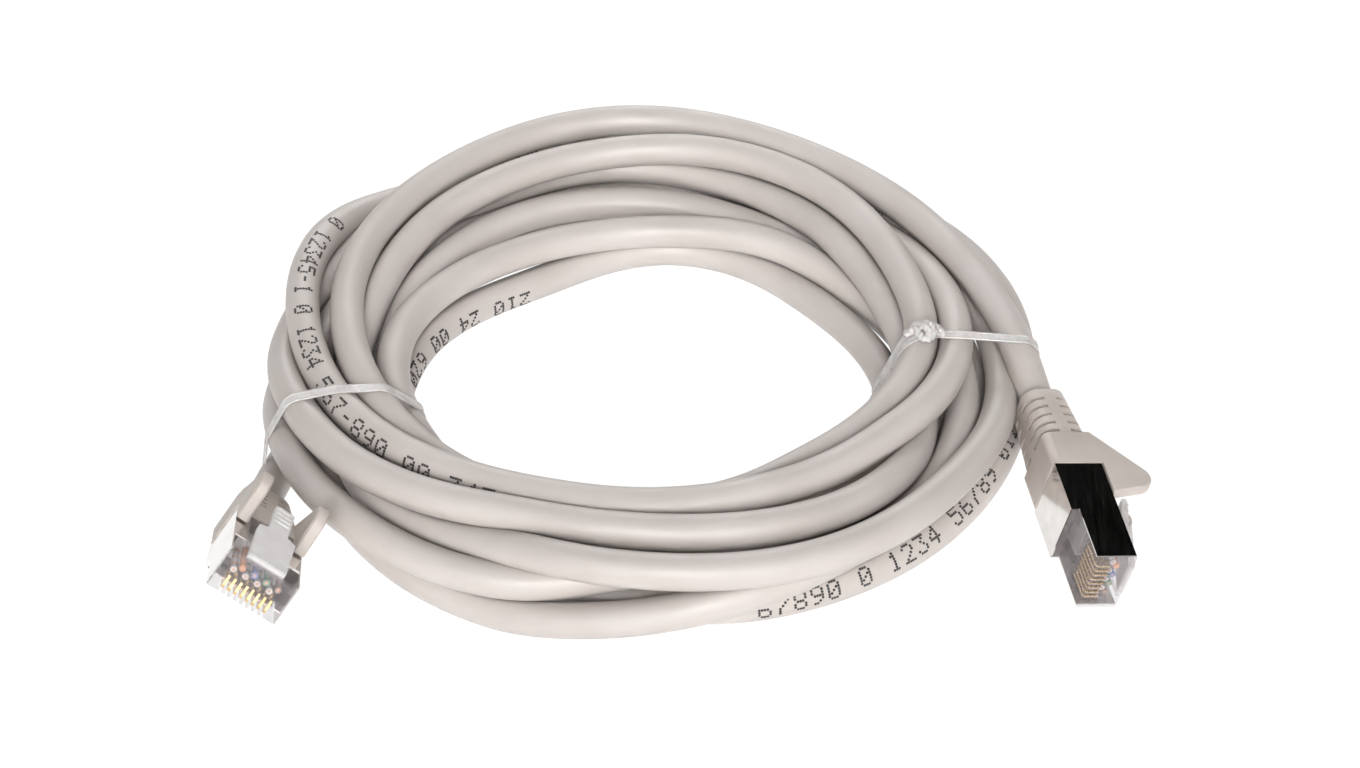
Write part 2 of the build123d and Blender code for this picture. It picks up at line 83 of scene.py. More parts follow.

# %% [markdown]
# ## The cord's turns
# A coil wound by hand is never a neat spring. Each turn drifts in and out, climbs over the one
# before and drops into the next gap, and that is what makes it look real. So each turn is written
# down as a few stops: angle round the ring, distance from its centre, height of the cord's
# middle. A spring formula would be shorter, but no two turns here are alike.

# %% The cord's size and its turns
CORD = 5.8
turns = [
    [(0, 61.9, 12.8), (8, 60, 14.4), (22, 58.2, 14.4), (45, 59.1, 14.5), (60, 60.1, 14.5),
     (75, 62.4, 14.5), (90, 65, 14.5), (105, 65, 14.5), (120, 62.3, 14.5), (135, 59.6, 14.5),
     (150, 57.1, 14.5), (165, 52.9, 14.5), (180, 49.3, 14.3), (195, 46.8, 14), (210, 42.9, 10.5),
     (225, 39, 8.6), (240, 36.3, 8.6), (255, 34.3, 8.3), (270, 33.8, 9.2), (285, 33.5, 9), (300, 34, 9),
     (315, 34.8, 9.8), (330, 38.2, 10), (345, 42.8, 11)],
    [(0, 47, 12.2), (15, 47.5, 12.5), (30, 48.7, 12.5), (45, 51, 12.5), (60, 53.5, 12.5),
     (75, 55.3, 12.5), (90, 55.3, 12.5), (105, 55.1, 12.5), (120, 54.7, 12.5), (135, 53.8, 12.5),
     (150, 52.6, 11), (165, 51.2, 9), (180, 50.6, 8.2), (195, 51.5, 7.8), (210, 52, 7.8),
     (225, 50.2, 7.8), (240, 46.6, 8.8), (255, 50, 12.4), (270, 50, 12.4), (285, 52.3, 13),
     (300, 54.9, 13.3), (315, 56, 13.2), (330, 56, 12.4), (342, 56.8, 10), (352, 57.6, 8)],
    [(0, 58.2, 7.3), (8, 58.6, 7), (15, 58.4, 7.3), (30, 57.3, 9), (45, 57.2, 9), (60, 58.5, 9),
     (75, 61, 8.8), (90, 63.2, 8), (120, 62.5, 9), (135, 62, 9), (150, 62, 7.5), (165, 61.2, 7.3),
     (180, 59.5, 9.3), (195, 57.9, 14), (210, 54.8, 13), (225, 50.3, 12.8), (240, 46, 13.4),
     (255, 43.8, 13.8), (270, 43.8, 13.9), (285, 45.6, 14), (300, 48.4, 14), (315, 50.3, 13),
     (330, 51.2, 12), (345, 47.8, 9)],
    [(0, 46.4, 7.9), (15, 45.2, 8.3), (30, 45.8, 8.5), (45, 47.6, 8.5), (60, 51, 8), (75, 55, 8),
     (90, 57.9, 8), (105, 59, 8), (120, 60, 5.4), (135, 60, 3.2), (150, 60, 2.9), (165, 60.5, 3),
     (176, 60.9, 3.3), (183, 60.9, 5.2), (189, 60.5, 8), (195, 59.8, 9.6), (205, 59.8, 10),
     (213, 58.5, 10.5), (225, 55.6, 9), (240, 51.7, 7.6), (255, 47.4, 7), (270, 43.5, 7.3),
     (285, 44, 7.6), (300, 45, 7.5), (315, 45, 5), (330, 46.5, 3.2), (345, 48.4, 2.9)],
    [(0, 49.3, 2.9), (15, 48.5, 2.9), (30, 46.5, 3.2), (45, 43.5, 4.5), (60, 41.1, 7.5),
     (75, 39.3, 7.5), (90, 38.6, 7.5), (105, 38.7, 7.5), (120, 40.2, 7.5), (135, 42.2, 7.5),
     (150, 44.8, 7.5), (165, 46, 7.8), (180, 45.5, 8), (195, 44.5, 7.5), (210, 42.5, 5), (225, 40.5, 3),
     (240, 37.6, 2.9), (255, 35.4, 2.9), (270, 34.6, 2.9), (300, 36.5, 2.9), (330, 40.5, 2.9)],
    [(0, 43.2, 2.9), (30, 41.4, 2.9), (60, 42.6, 2.9), (75, 42.9, 2.9), (90, 42.2, 2.9),
     (105, 39.5, 2.9), (120, 37.4, 2.9), (135, 38.9, 2.9), (150, 42.2, 2.9), (165, 44.3, 2.9),
     (180, 45, 2.9), (210, 46.5, 2.9), (240, 46, 2.9), (255, 45.9, 2.9), (270, 46.5, 2.9),
     (285, 49.7, 2.9), (300, 51.1, 2.9), (315, 53.3, 2.9), (330, 56.2, 2.9), (345, 59, 2.9)],
    [(0, 61.8, 2.9), (12, 65.6, 3.1), (22, 67.4, 3.6), (33, 68.6, 4), (45, 68, 3.6), (60, 66.6, 3),
     (90, 65, 2.9), (120, 65.4, 3), (135, 65.6, 4.8), (150, 63.4, 11), (165, 59.8, 12),
     (180, 55.5, 12.8), (195, 51.6, 12.8), (210, 47.2, 12.6), (225, 43, 12.5), (240, 40.3, 12.9),
     (255, 39, 13.1), (270, 38.4, 13.3), (285, 38.8, 13.3), (300, 40.3, 13.3), (315, 42.8, 13),
     (330, 45.9, 12.8), (345, 50.6, 13.6)],
    [(0, 53, 12.9), (15, 53.4, 12.3), (30, 54, 10.2), (45, 55, 8), (60, 56.5, 5), (75, 57.5, 3),
     (90, 58.3, 2.9), (105, 57.4, 2.9), (120, 55, 3.2), (135, 54.4, 4.6), (150, 55.5, 7.3),
     (165, 56.5, 7.8), (180, 56.3, 8.2), (190, 55.4, 7.9), (200, 55, 4.5), (210, 55, 3),
     (225, 54.2, 2.9), (240, 53, 3), (255, 51.8, 4.2), (270, 51.2, 5.6), (285, 51.3, 7.8),
     (300, 50.5, 8.4), (315, 50, 8), (330, 51, 7.9), (345, 52.5, 7.9)],
    [(0, 52.2, 7.9), (15, 52, 7.6), (30, 51.5, 6.5), (45, 50.5, 6), (60, 49.5, 6.5), (75, 48.9, 7.5),
     (90, 49.9, 7.5), (105, 50, 7.5), (120, 50.4, 7.5), (135, 49.5, 7.5), (150, 50.2, 6),
     (165, 49.5, 3.5), (180, 49.8, 2.9), (195, 50.5, 2.9), (206, 49.6, 4), (216, 47, 7.2),
     (226, 44.4, 8), (236, 42.6, 6), (248, 41, 3), (262, 40.4, 2.9), (275, 40.7, 2.9), (300, 45, 2.9),
     (315, 47.6, 2.9), (330, 50.6, 2.9), (345, 53.4, 2.9)],
    [(0, 55.1, 2.9), (30, 54, 2.9), (60, 52.2, 2.9), (90, 51.3, 2.9), (105, 51, 2.9), (120, 49.4, 2.9),
     (135, 48.8, 2.9), (150, 50.3, 2.9), (165, 52.4, 2.9), (177, 54, 2.9), (183, 55.3, 2.9),
     (189, 58, 2.9)],
]
print("turns written down:", len(turns), "with", sum(len(turn) for turn in turns), "stops")

# %% [markdown]
# ## From stops to a line
# Between stops the cord runs smoothly, because a jacketed cord can't kink. Every turn is read off
# at the same 48 angles, and a soft average along the cord takes away the corners at the stops.

# %% Read every turn at the same angles
STATIONS = 48
STEP = 360 / STATIONS
BLUR = 7


def read_turns(column):
    """The stops' distances or heights at every station along the cord, with their corners softened."""
    angles = [360 * count + stop[0] for count, turn in enumerate(turns) for stop in turn]
    values = [stop[column] for turn in turns for stop in turn]
    reach = 4 * BLUR
    fine = np.arange(angles[0] - reach, angles[-1] + reach + 1)
    line = np.interp(fine, angles, values)
    before, after = fine < angles[0], fine > angles[-1]
    line[before] = 2 * values[0] - np.interp(2 * angles[0] - fine[before], angles, values)
    line[after] = 2 * values[-1] - np.interp(2 * angles[-1] - fine[after], angles, values)
    weights = np.exp(-0.5 * (np.arange(-reach, reach + 1) / BLUR) ** 2)
    soft = np.convolve(line, weights / weights.sum(), mode="same")
    return np.interp(stations, fine, soft)


first_stop, last_stop = turns[0][0][0], 360 * (len(turns) - 1) + turns[-1][-1][0]
stations = np.arange(math.ceil(first_stop / STEP) * STEP, last_stop, STEP)
wanted_radius = read_turns(1)
wanted_height = read_turns(2)
print("stations along the cord:", len(stations))

# %% [markdown]
# ## Letting the turns settle
# The written stops put some turns partly inside each other. Real turns push each other aside.
# At each angle the cord is cut by a plane, and every turn is a disc in that plane. Two discs that
# overlap are pushed apart a little, the table pushes up, and the push is shared along the cord,
# because a stiff cord bends slowly. Where a tie passes under the turns, they lie on the tie. A few
# hundred small pushes settle the whole coil. A physics simulation could do this too, but this way
# keeps each turn close to where it was written.

# %% Push the turns apart
ROUNDS = 500
GAP = 5.95
TOP = 14.7
TIE_ANGLES = (0.0, 195.5)
TIE_LIFT = 0.4
TIE_REACH = 9.0
PUSH_SHARE = 0.25
OWN_SHARE = 0.8
NEIGHBOUR_SHARE = 0.1
PULL_BACK = 0.997
off_ties = np.min([np.abs((stations - angle + 180) % 360 - 180) for angle in TIE_ANGLES], axis=0)
ground = CORD / 2 + TIE_LIFT * np.exp(-(off_ties / TIE_REACH) ** 2)


def settle(radius, height):
    """Push turns that overlap apart, and keep each one smooth and near its written place."""
    first = int(round(stations[0] / STEP))
    turn_of, station_of = np.divmod(np.arange(len(stations)) + first, STATIONS)
    grid = -np.ones((turn_of.max() + 1, STATIONS), int)
    grid[turn_of, station_of] = np.arange(len(stations))
    start = np.array([radius, height])
    spot = start.copy()
    for _ in range(ROUNDS):
        push = np.zeros_like(spot)
        for low in range(len(grid)):
            for high in range(low + 1, len(grid)):
                both = (grid[low] >= 0) & (grid[high] >= 0)
                one, other = grid[low][both], grid[high][both]
                apart = spot[:, other] - spot[:, one]
                distance = np.hypot(*apart) + 1e-9
                step = apart * np.clip(GAP - distance, 0, None) / distance * PUSH_SHARE
                push[:, one] -= step
                push[:, other] += step
        moved = spot + push - start
        moved[:, 1:-1] = OWN_SHARE * moved[:, 1:-1] + NEIGHBOUR_SHARE * (moved[:, :-2] + moved[:, 2:])
        spot = start + PULL_BACK * moved
        spot[1] = np.clip(spot[1], ground, TOP)
    print("largest push, mm:", round(float(np.abs(spot - start).max()), 1))
    return spot


radii, heights = settle(wanted_radius, wanted_height)

# %% [markdown]
# ## Where the plugs lie
# Each plug has its own directions: along its length, across its contacts and up to its latch. The
# cord's first and last points lie on a line through each plug, so the cord leaves each strain relief
# straight.

# %% The plugs' places and directions
CORD_IN_PLUG = 2.6
BEHIND_NOSE = {"a": (44.9, 32.1, 22, 15.2), "b": (15.2, 22, 30, 38.5)}
plugs = {
    # the nose, from the ring's centre, and the heading, pitch and roll in degrees
    "a": ((-58.64, -65.07, 21.6), (-81.96, -27.0, -39.62)),
    "b": ((68.6, -47.2, 6.93), (-80.5, 4.3, -99.5)),
}


def in_plug(side, along, across=0.0, up=CORD_IN_PLUG):
    """A point of a plug, in millimetres from the ring's centre: along is behind the nose."""
    nose, (heading, pitch, roll) = plugs[side]
    turn = Vector((-along, across, up))
    for axis, angle in ((0, roll), (1, pitch), (2, heading)):
        spin = [0.0, 0.0, 0.0]
        spin[axis] = 1.0
        from_axis = Vector(spin)
        cosine, sine = math.cos(math.radians(angle)), math.sin(math.radians(angle))
        kept = from_axis * from_axis.dot(turn) * (1 - cosine)
        turn = turn * cosine + from_axis.cross(turn) * sine + kept
    return Vector(nose) + turn


print("the cord leaves plug b at", [round(v, 1) for v in in_plug("b", BEHIND_NOSE["b"][-1])])

# %% [markdown]
# ## The cord itself
# The cord is one open NURBS curve from inside one plug to inside the other, with a round section.
# A NURBS curve of order 3 bends evenly between its points, as a jacket does. The order is set after
# the points are added, because a curve with too few points falls back to straight runs.

# %% Build the cord
def ring_point(angle, radius, height):
    """A point from an angle in degrees, a distance from the ring's centre and a height."""
    turn = math.radians(angle)
    return Vector((radius * math.cos(turn), radius * math.sin(turn), height))


route = [in_plug("b", along) for along in BEHIND_NOSE["b"]]
route += [ring_point(*stop) for stop in zip(stations, radii, heights)]
route += [in_plug("a", along) for along in BEHIND_NOSE["a"]]


def nurbs(name, points, resolution=4):
    """A curve object of one open NURBS spline through control points in millimetres."""
    data = bpy.data.curves.new(name, "CURVE")
    data.dimensions = "3D"
    spline = data.splines.new("NURBS")
    spline.points.add(len(points) - 1)
    for target, point in zip(spline.points, points):
        target.co = (*place(*point), 1)
    spline.order_u = 3
    spline.use_endpoint_u = True
    data.resolution_u = resolution
    made = bpy.data.objects.new(name, data)
    bpy.context.scene.collection.objects.link(made)
    return made


# A curve's box is its points' box, grown by each point's radius, so that radius holds the thickness.
cord = nurbs("cord", route)
cord.data.splines[0].points.foreach_set("radius", [CORD / 2 * MM] * len(route))
cord.data.bevel_depth = 1.0
cord.data.bevel_resolution = 7
cord.data.use_fill_caps = True
print("control points:", len(route))

# %% Read points back from the cord
def line_of(points):
    """A NURBS curve's points, in millimetres from the ring's centre, and how far along each is."""
    bare = nurbs("bare_line", points, 8)
    bpy.context.view_layer.update()
    mesh = bpy.data.meshes.new_from_object(bare)
    found = np.array([vertex.co for vertex in mesh.vertices]) / MM
    found[:, :2] -= RING_CENTRE
    bpy.data.objects.remove(bare)
    bpy.data.meshes.remove(mesh)
    far = np.concatenate([[0], np.cumsum(np.linalg.norm(np.diff(found, axis=0), axis=1))])
    return found, far


cord_line, cord_far = line_of(route)
cord_angle = np.degrees(np.unwrap(np.arctan2(cord_line[:, 1], cord_line[:, 0])))
cord_length = cord_far[-1] * MM
print("cord length, m:", round(float(cord_length), 3), "from angle", round(float(cord_angle[0])))

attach(cord, "root")
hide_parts("coil", "lead_a", "lead_b")

# %% [markdown]
# ## Tools for finishes
# A finish here is a small tree of nodes: a noise that follows the piece gives blotches or grain, a
# ramp turns it into colour, and a bump turns it into relief. No pictures are used, so a finish has
# no seams and can be read like a recipe. Plain values stay on the shader itself.

# %% Helpers for finishes
def new_finish(name, color, roughness, **sockets):
    """A material whose main shader has these plain values."""
    material = bpy.data.materials.new(name)
    material.use_nodes = True
    shader = material.node_tree.nodes["Principled BSDF"]
    shader.inputs["Base Color"].default_value = (*color, 1)
    shader.inputs["Roughness"].default_value = roughness
    for socket, value in sockets.items():
        shader.inputs[socket.replace("_", " ")].default_value = value
    return material, shader


def node(owner, kind, choices=None, **sockets):
    """Add a node, make its choices, and set or link its sockets by name."""
    made = owner.node_tree.nodes.new("ShaderNode" + kind)
    for name, value in (choices or {}).items():
        setattr(made, name, value)
    for name, value in sockets.items():
        socket = made.inputs[name.replace("_", " ")]
        if isinstance(value, bpy.types.NodeSocket):
            owner.node_tree.links.new(value, socket)
        else:
            socket.default_value = value
    return made


def link(owner, source, target):
    """Join an output to an input."""
    owner.node_tree.links.new(source, target)


def cloud(owner, size, detail=2.0, stretch=(1, 1, 1)):
    """Noise over a piece with blotches about so many millimetres across, longer where stretched."""
    place_on_piece = node(owner, "TexCoord").outputs["Object"]
    shrunk = node(owner, "Mapping", Vector=place_on_piece, Scale=[1 / amount for amount in stretch])
    return node(owner, "TexNoise", Vector=shrunk.outputs[0], Scale=1 / (size * MM),
                Detail=detail).outputs[0]


def shades(owner, noise, low, high, spread=0.15):
    """Colours from one shade to another, as the noise goes from low to high."""
    ramp = node(owner, "ValToRGB")
    link(owner, noise, ramp.inputs[0])
    for stop, color, position in zip(ramp.color_ramp.elements, (low, high), (0.5 - spread, 0.5 + spread)):
        stop.color = (*color, 1)
        stop.position = position
    return ramp.outputs[0]


def levels(owner, noise, low, high):
    """A number that goes from low to high with the noise."""
    return node(owner, "MapRange", Value=noise, From_Min=0.3, From_Max=0.7,
                To_Min=low, To_Max=high).outputs[0]


def relief(owner, shader, *layers):
    """Bumps of a depth in millimetres, one over the other."""
    normal = None
    for noise, depth in layers:
        made = node(owner, "Bump", Height=noise, Distance=depth * MM)
        if normal is not None:
            link(owner, normal, made.inputs["Normal"])
        normal = made.outputs[0]
    link(owner, normal, shader.inputs["Normal"])


# %% [markdown]
# ## The jacket
# The jacket is soft PVC in a warm light grey. It came out of a die, so it is smooth along its length
# but not glossy, and the four twisted pairs inside press faint long swells through it. Two noises do
# this: a large one for the swells and slight yellowing, and a very fine one for the skin.
# The even light of this studio leaves too little shade in the grooves between turns, so an occlusion
# node darkens the colour there. It is a help for the picture, and no dirt on the real jacket.

# %% The jacket's finish
jacket, shader = new_finish("jacket_pvc", (0.500, 0.455, 0.428), 0.42, Specular_IOR_Level=0.5)
plain_color = shades(jacket, cloud(jacket, 14), (0.478, 0.434, 0.405), (0.520, 0.476, 0.450))
GROOVE_REACH = 3.5
GROOVE_TONE = 0.5
groove = node(jacket, "AmbientOcclusion", Distance=GROOVE_REACH * MM)
tone = node(jacket, "MapRange", Value=groove.outputs["AO"], From_Min=0.1, From_Max=0.5,
            To_Min=GROOVE_TONE, To_Max=1.0)
grooved = node(jacket, "MixRGB", {"blend_type": "MULTIPLY"}, Fac=1.0, Color1=plain_color,
               Color2=tone.outputs[0])
link(jacket, grooved.outputs[0], shader.inputs["Base Color"])
link(jacket, levels(jacket, cloud(jacket, 5), 0.36, 0.5), shader.inputs["Roughness"])
relief(jacket, shader, (cloud(jacket, 7, 1.0), 0.10), (cloud(jacket, 0.35, 3.0), 0.006))
cord.data.materials.append(jacket)
print("nodes in the jacket's finish:", len(jacket.node_tree.nodes))

# %% [markdown]
# ## Ink on the jacket
# Cable makers spray a running line of dots on the moving jacket, so the figures are built of small
# separate dots, bent round the cord, and they slip to one side as the cord twists. Each dot here is
# a thin plate of its own that sits on the skin. A painted texture would need the cord unrolled.
# Plain running numbers stand for whatever a maker would print.

# %% A figure made of dots
FIGURES = {
    "0": (14, 17, 19, 21, 25, 17, 14), "1": (4, 12, 4, 4, 4, 4, 14), "2": (14, 17, 1, 2, 4, 8, 31),
    "3": (31, 2, 4, 2, 1, 17, 14), "4": (2, 6, 10, 18, 31, 2, 2), "5": (31, 16, 30, 1, 1, 17, 14),
    "6": (6, 8, 16, 30, 17, 17, 14), "7": (31, 1, 2, 4, 8, 8, 8), "8": (14, 17, 17, 14, 17, 17, 14),
    "9": (14, 17, 17, 15, 1, 2, 12), " ": (0, 0, 0, 0, 0, 0, 0),
    "-": (0, 0, 0, 14, 0, 0, 0),
}
FIGURE_COLUMNS = 5
MIDDLE_ROW = 3
LOOK_AHEAD = 0.5
DOT_ALONG = 0.42
DOT_ROUND = 0.47
DOT_SIZE = 0.25
FIGURE_PITCH = 2.75
INK_RISE = 0.03
DOT_SIDES = 6


def cord_frame(far):
    """A point of the cord's middle, its direction, the way up from it and the way to its left."""
    point, ahead = (Vector([np.interp(far + step, cord_far, cord_line[:, axis]) for axis in range(3)])
                    for step in (0.0, LOOK_AHEAD))
    direction = (ahead - point).normalized()
    up = (Vector((0, 0, 1)) - direction * direction.z).normalized()
    return point, direction, up, up.cross(direction)


def dot(mesh, far, turned):
    """A thin six-sided plate on the skin, turned to the left of the cord's top by an angle."""
    point, direction, up, left = cord_frame(far)
    outward = up * math.cos(turned) + left * math.sin(turned)
    sideways = left * math.cos(turned) - up * math.sin(turned)
    rings = []
    for rise in (-INK_RISE, INK_RISE):
        corners = []
        for corner in range(DOT_SIDES):
            angle = 2 * math.pi * corner / DOT_SIDES
            spot = point + outward * (CORD / 2 + rise)
            spot += (direction * math.cos(angle) + sideways * math.sin(angle)) * DOT_SIZE
            corners.append(mesh.verts.new(place(*spot)))
        rings.append(corners)
    mesh.faces.new(rings[1])
    for corner in range(DOT_SIDES):
        after = (corner + 1) % DOT_SIDES
        mesh.faces.new((rings[0][corner], rings[0][after], rings[1][after], rings[1][corner]))


def add_mesh(name, mesh, finish, smooth=False):
    """Turn a bmesh into an object with one finish."""
    data = bpy.data.meshes.new(name)
    mesh.to_mesh(data)
    mesh.free()
    data.materials.append(finish)
    for face in data.polygons:
        face.use_smooth = smooth
    made = bpy.data.objects.new(name, data)
    bpy.context.scene.collection.objects.link(made)
    return made


# %% The ink's finish
ink, shader = new_finish("black_ink", (0.03, 0.027, 0.027), 0.6)
link(ink, shades(ink, cloud(ink, 0.6), (0.016, 0.014, 0.014), (0.07, 0.062, 0.06)),
     shader.inputs["Base Color"])

# %% Print the numbers where they show
marks = [
    # name, turn, (angle round the ring, how far the print leans inward there, in degrees), figures
    ("numbers_left", 6, [(149, 30), (179, -2), (198, -40), (210, -63), (221, -79), (236, -90)],
     "0 12345-1 0 1234 567-890 00 345"),
    ("numbers_front_right", 5, [(290, -70), (310, -50), (325, -36), (340, -20), (357, -4)],
     "67890 0 1234 56789 012"),
    ("numbers_back_left", 2, [(110, 42), (130, 42)], "0123 45 6"),
    ("numbers_back_right", 2, [(44, 46), (70, 44)], "0246813 57"),
    ("numbers_low", 5, [(128, 98), (146, 86), (158, 72), (172, 60)], "210 24 00 620"),
]
for name, turn, leans, figures in marks:
    plates = bmesh.new()
    print_angles, leans = zip(*leans)
    start = float(np.interp(360 * turn + print_angles[0], cord_angle, cord_far))
    for count, figure in enumerate(figures):
        angle = np.interp(start + count * FIGURE_PITCH, cord_far, cord_angle) - 360 * turn
        lean = math.radians(np.interp(angle, print_angles, leans))
        for row, bits in enumerate(FIGURES[figure]):
            for column in range(FIGURE_COLUMNS):
                if bits >> (FIGURE_COLUMNS - 1 - column) & 1:
                    dot(plates, start + count * FIGURE_PITCH + column * DOT_ALONG,
                        lean + (MIDDLE_ROW - row) * DOT_ROUND / (CORD / 2))
    print(name, "dots:", len(plates.verts) // (2 * DOT_SIDES), "from", round(start), "mm")
    printed = add_mesh(name, plates, ink)
    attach(printed, "root")

# %% [markdown]
# ## The ties
# Each tie is a strip of thin, soft plastic ribbon pulled tight round the turns. It lies on the turns
# that stick out and runs straight across the gaps between them, which is what a stretched band does.
# That shape is the convex hull of the turns' round sections where the tie is, so it is worked out
# from the cord instead of guessed, and it fits even if a turn is moved.

# %% Find the turns under a tie
RIBBON = 1.9
RIBBON_THICK = 0.3
RIBBON_SNUG = 0.04


def turns_under(angle):
    """Distance and height of the cord's middle wherever it crosses an angle round the ring."""
    passed = np.floor((cord_angle - angle) / 360)
    found = []
    for index in np.nonzero(np.diff(passed))[0]:
        whole = 360 * max(passed[index], passed[index + 1]) + angle
        share = (whole - cord_angle[index]) / (cord_angle[index + 1] - cord_angle[index])
        spot = cord_line[index] + share * (cord_line[index + 1] - cord_line[index])
        found.append((math.hypot(spot[0], spot[1]), spot[2]))
    return found


def tight_band(angle, around=40):
    """The outline of a band stretched round the turns at an angle, as distances and heights."""
    reach = CORD / 2 + RIBBON_SNUG + RIBBON_THICK / 2
    spots = sorted((radius + reach * math.cos(2 * math.pi * step / around),
                    height + reach * math.sin(2 * math.pi * step / around))
                   for radius, height in turns_under(angle) for step in range(around))
    sides = []
    for order in (spots, spots[::-1]):
        side = []
        for spot in order:
            while len(side) > 1 and ((side[-1][0] - side[-2][0]) * (spot[1] - side[-2][1])
                                     <= (side[-1][1] - side[-2][1]) * (spot[0] - side[-2][0])):
                side.pop()
            side.append(spot)
        sides += side[:-1]
    return np.array(sides)


def evenly(outline, spacing=0.5):
    """The same closed outline with points at an even distance."""
    closed = np.vstack([outline, outline[:1]])
    far = np.concatenate([[0], np.cumsum(np.hypot(*np.diff(closed, axis=0).T))])
    marks_along = np.linspace(0, far[-1], int(far[-1] / spacing), endpoint=False)
    return np.stack([np.interp(marks_along, far, closed[:, axis]) for axis in (0, 1)], axis=1)


print("turns under the right tie:", [(round(r, 1), round(float(h), 1)) for r, h in turns_under(0)])

# %% [markdown]
# A ribbon is a flat tube with a thicker rim along each edge, where the film was cut hot, so its long
# edges catch the light. Near the knot the ribbon is gathered and so gets narrower.

# %% Make a ribbon
RIBBON_SECTION = ((-1, 0), (-0.93, 1), (-0.78, 0.9), (-0.62, 0.4), (0.62, 0.4), (0.78, 0.9), (0.93, 1),
                  (1, 0), (0.93, -1), (-0.93, -1))


def ribbon(name, angle, outline, shifts, widths, closed):
    """A ribbon along an outline at an angle; shifts move it along the ring, widths gather it."""
    mesh = bmesh.new()
    tangent = Vector((-math.sin(math.radians(angle)), math.cos(math.radians(angle)), 0))
    count = len(outline)
    sections = []
    for index in range(count):
        before, after = (index - 1) % count, (index + 1) % count
        if not closed:
            before, after = max(index - 1, 0), min(index + 1, count - 1)
        run = outline[after] - outline[before]
        run = run / np.hypot(*run)
        half, thick = widths[index] * RIBBON / 2, RIBBON_THICK / 2
        section = []
        for side, rise in RIBBON_SECTION:
            spot = ring_point(angle, outline[index][0] + run[1] * rise * thick,
                              outline[index][1] - run[0] * rise * thick)
            section.append(mesh.verts.new(place(*(spot + tangent * (side * half + shifts[index])))))
        sections.append(section)
    for index in range(count if closed else count - 1):
        one, other = sections[index], sections[(index + 1) % count]
        for corner in range(len(one)):
            after = (corner + 1) % len(one)
            mesh.faces.new((one[corner], one[after], other[after], other[corner]))
    if not closed:
        mesh.faces.new(sections[0][::-1])
        mesh.faces.new(sections[-1])
    bmesh.ops.recalc_face_normals(mesh, faces=mesh.faces)
    return add_mesh(name, mesh, film)


# %% The ribbon's finish
film, shader = new_finish("ribbon_plastic", (0.58, 0.56, 0.54), 0.34, Subsurface_Weight=0.08,
                          Subsurface_Scale=0.001)
link(film, shades(film, cloud(film, 3), (0.50, 0.475, 0.46), (0.66, 0.635, 0.62)),
     shader.inputs["Base Color"])
link(film, levels(film, cloud(film, 1.2), 0.24, 0.46), shader.inputs["Roughness"])
relief(film, shader, (cloud(film, 0.5, 3.0, (6, 1, 6)), 0.03))
print("nodes in the ribbon's finish:", len(film.node_tree.nodes))

# %% The left tie
LEFT_TIE = TIE_ANGLES[1]
SWAY = 0.35
SWAY_LENGTH = 9
left_outline = evenly(tight_band(LEFT_TIE))
plain = np.ones(len(left_outline))
sway = SWAY * np.sin(np.arange(len(plain)) / SWAY_LENGTH)
left_tie = ribbon("tie_left_ribbon", LEFT_TIE, left_outline, sway, plain, True)
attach(left_tie, "root")
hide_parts("tie_left")
print("left tie's outline, points:", len(left_outline))

# %% [markdown]
# ## The right tie's knot
# The right tie ends in a small granny knot over the innermost turn. Both tails run down the inside
# of the ring. The knot is one thin round curve that winds through itself and is then crumpled a
# little, which reads as knotted film.

# %% The right tie
RIGHT_TIE = TIE_ANGLES[0]
KNOT_RADIUS = 46.0
GATHER = 0.5
GATHER_REACH = 3.0
PULLED_ASIDE = 0.9
ASIDE_OVER = 4
right_outline = evenly(tight_band(RIGHT_TIE))
top_side = right_outline[:, 1] > right_outline[:, 1].mean()
knot_index = int(np.argmin(np.abs(right_outline[:, 0] - KNOT_RADIUS) + 100 * ~top_side))
knot_spot = right_outline[knot_index]
from_knot = np.hypot(*(right_outline - knot_spot).T)
gathered = 1 - GATHER * np.exp(-(from_knot / GATHER_REACH) ** 2)
inner_side = np.clip((KNOT_RADIUS + 1 - right_outline[:, 0]) / ASIDE_OVER, 0, 1)
aside = PULLED_ASIDE * inner_side
right_tie = ribbon("tie_right_ribbon", RIGHT_TIE, right_outline, aside, gathered, True)
print("knot at", [round(float(v), 1) for v in knot_spot])

# %% The tails
# how far a tail reaches from the knot, how far it drifts along the ring, and how far inside the tie
# its end lies
TAILS = ((21, -4.2, 1.2), (16, -1.6, 0.7))
TAIL_START = -0.4
TAIL_BEND = 0.7
tails = []
for count, (reach, drift, off_tie) in enumerate(TAILS):
    down = [index for index in range(len(right_outline))
            if right_outline[index][0] < KNOT_RADIUS + 0.5 and from_knot[index] < reach]
    down.sort(key=lambda index: from_knot[index])
    share = np.linspace(0, 1, len(down))
    line = right_outline[down] - np.outer(share * off_tie, (1, 0))
    shifts = TAIL_START + drift * share ** TAIL_BEND
    tails.append(ribbon(f"tie_right_tail_{count}", RIGHT_TIE, line, shifts, 0.5 + 0.3 * share, False))
print("tails:", [piece.name for piece in tails])

